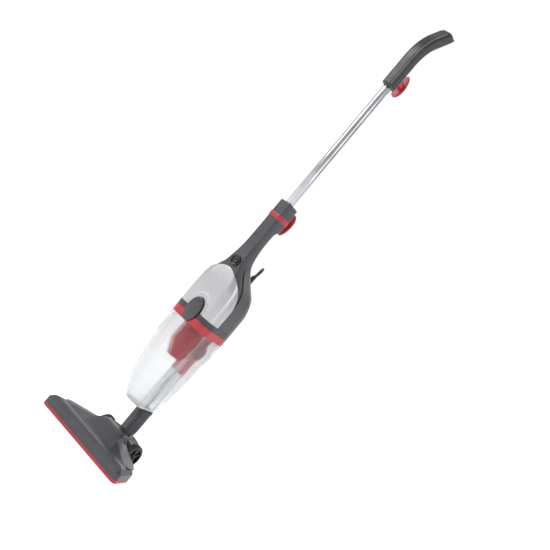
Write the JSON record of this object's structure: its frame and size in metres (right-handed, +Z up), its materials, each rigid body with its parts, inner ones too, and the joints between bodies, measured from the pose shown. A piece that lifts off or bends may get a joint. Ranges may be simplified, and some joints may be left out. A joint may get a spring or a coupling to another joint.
{
  "type": "upright stick vacuum cleaner",
  "caption": "Corded upright stick vacuum with clear dust container, detachable steel handle tube, cord hooks and wide tilting floor head.",
  "frame": {"origin": "on the floor head's sole, straight below the axis of the steel tube", "axes": "+Z up along the steel tube, -Y towards the front of the cleaner, X along the floor head"},
  "size_m": [0.2819, 0.2734, 1.137],
  "materials": {
    "shell_charcoal": "fine satin moulded ABS, charcoal grey",
    "trim_dark": "matt moulded plastic, dark grey",
    "red_plastic": "semi-gloss moulded ABS, deep red",
    "silver_paint": "satin silver paint over plastic",
    "clear_plastic": "clear moulded polycarbonate",
    "steel": "polished steel",
    "black_plastic": "matt black plastic",
    "black_rubber": "matt black rubber or soft PVC",
    "lint_fabric": "red lint pile",
    "filter_paper": "off-white pleated filter medium",
    "copper_iron": "copper windings on a laminated core",
    "impeller_alloy": "pressed aluminium",
    "capacitor_case": "yellow cased capacitor",
    "plug_brass": "nickel-plated brass"
  },
  "bodies": {
    "hand_unit": {"filter_cup": "red_plastic", "intake_hood": "red_plastic", "pleated_filter": "filter_paper", "filter_gasket": "black_rubber", "lower_band": "trim_dark", "back_shell": "shell_charcoal", "front_shell": "shell_charcoal", "silver_panel": "silver_paint", "release_spring": "steel", "power_bezel": "black_plastic", "switch_body": "black_plastic", "motor_can": "steel", "fan_cover": "steel", "motor_cushions": "black_rubber", "bearings": "steel", "noise_capacitor": "capacitor_case", "exhaust_grille": "trim_dark", "exhaust_foam": "black_rubber", "tube_socket": "trim_dark", "lower_hook": "red_plastic", "shell_screws": "steel", "strain_relief": "black_rubber", "cord": "black_rubber", "cord_coil": "black_rubber", "cord_tail": "black_rubber", "cord_tie": "black_rubber", "plug_body": "black_plastic", "plug_pins": "plug_brass"},
    "release": {"release_button": "trim_dark"},
    "power": {"power_button": "trim_dark"},
    "rotor": {"armature": "copper_iron", "impeller": "impeller_alloy"},
    "container": {"dust_container": "clear_plastic", "inlet_tube": "clear_plastic", "rim_gasket": "black_rubber"},
    "neck": {"neck_tube": "shell_charcoal", "neck_seal": "black_rubber"},
    "floor_head": {"head_cover": "shell_charcoal", "head_housing": "shell_charcoal", "sole_plate": "trim_dark", "edge_trim": "red_plastic", "lint_pads": "lint_fabric", "throat_duct": "trim_dark", "axle_left": "steel", "axle_right": "steel", "sole_screws": "steel"},
    "wheel_left": {"wheel_hub_left": "black_plastic", "tyre_left": "black_rubber"},
    "wheel_right": {"wheel_hub_right": "black_plastic", "tyre_right": "black_rubber"},
    "handle": {"steel_tube": "steel", "grip": "shell_charcoal", "grip_cap": "trim_dark", "hook_pin": "steel"},
    "cord_hook": {"upper_hook": "red_plastic"}
  },
  "joints": [
    {"name": "container_slide", "type": "slide", "parent": "hand_unit", "child": "container", "axis": [0, 0, -1], "range_m": [0, 0.15]},
    {"name": "neck_pull", "type": "slide", "parent": "container", "child": "neck", "axis": [0, 0, -1], "range_m": [0, 0.03]},
    {"name": "neck_tilt", "type": "hinge", "parent": "neck", "child": "floor_head", "pos_m": [0, 0.077, 0.0285], "axis": [1, 0, 0], "range_deg": [0, 70]},
    {"name": "wheel_left_spin", "type": "hinge", "parent": "floor_head", "child": "wheel_left", "pos_m": [-0.05, 0.077, 0.0285], "axis": [1, 0, 0], "continuous": true},
    {"name": "wheel_right_spin", "type": "hinge", "parent": "floor_head", "child": "wheel_right", "pos_m": [0.05, 0.077, 0.0285], "axis": [1, 0, 0], "continuous": true},
    {"name": "handle_pull", "type": "slide", "parent": "hand_unit", "child": "handle", "axis": [0, 0, 1], "range_m": [0, 0.07]},
    {"name": "hook_turn", "type": "hinge", "parent": "handle", "child": "cord_hook", "pos_m": [0, 0.03, 0.984], "axis": [0, 1, 0], "range_deg": [0, 180]},
    {"name": "release_press", "type": "slide", "parent": "hand_unit", "child": "release", "axis": [0, 1, 0], "range_m": [0, 0.003], "stiffness_N_per_m": 900, "springref_m": -0.002},
    {"name": "power_press", "type": "slide", "parent": "hand_unit", "child": "power", "axis": [0, 1, 0], "range_m": [0, 0.0015], "stiffness_N_per_m": 900, "springref_m": -0.001},
    {"name": "rotor_spin", "type": "hinge", "parent": "hand_unit", "child": "rotor", "pos_m": [0, 0.036, 0.4], "axis": [0, 0, 1], "continuous": true}
  ]
}
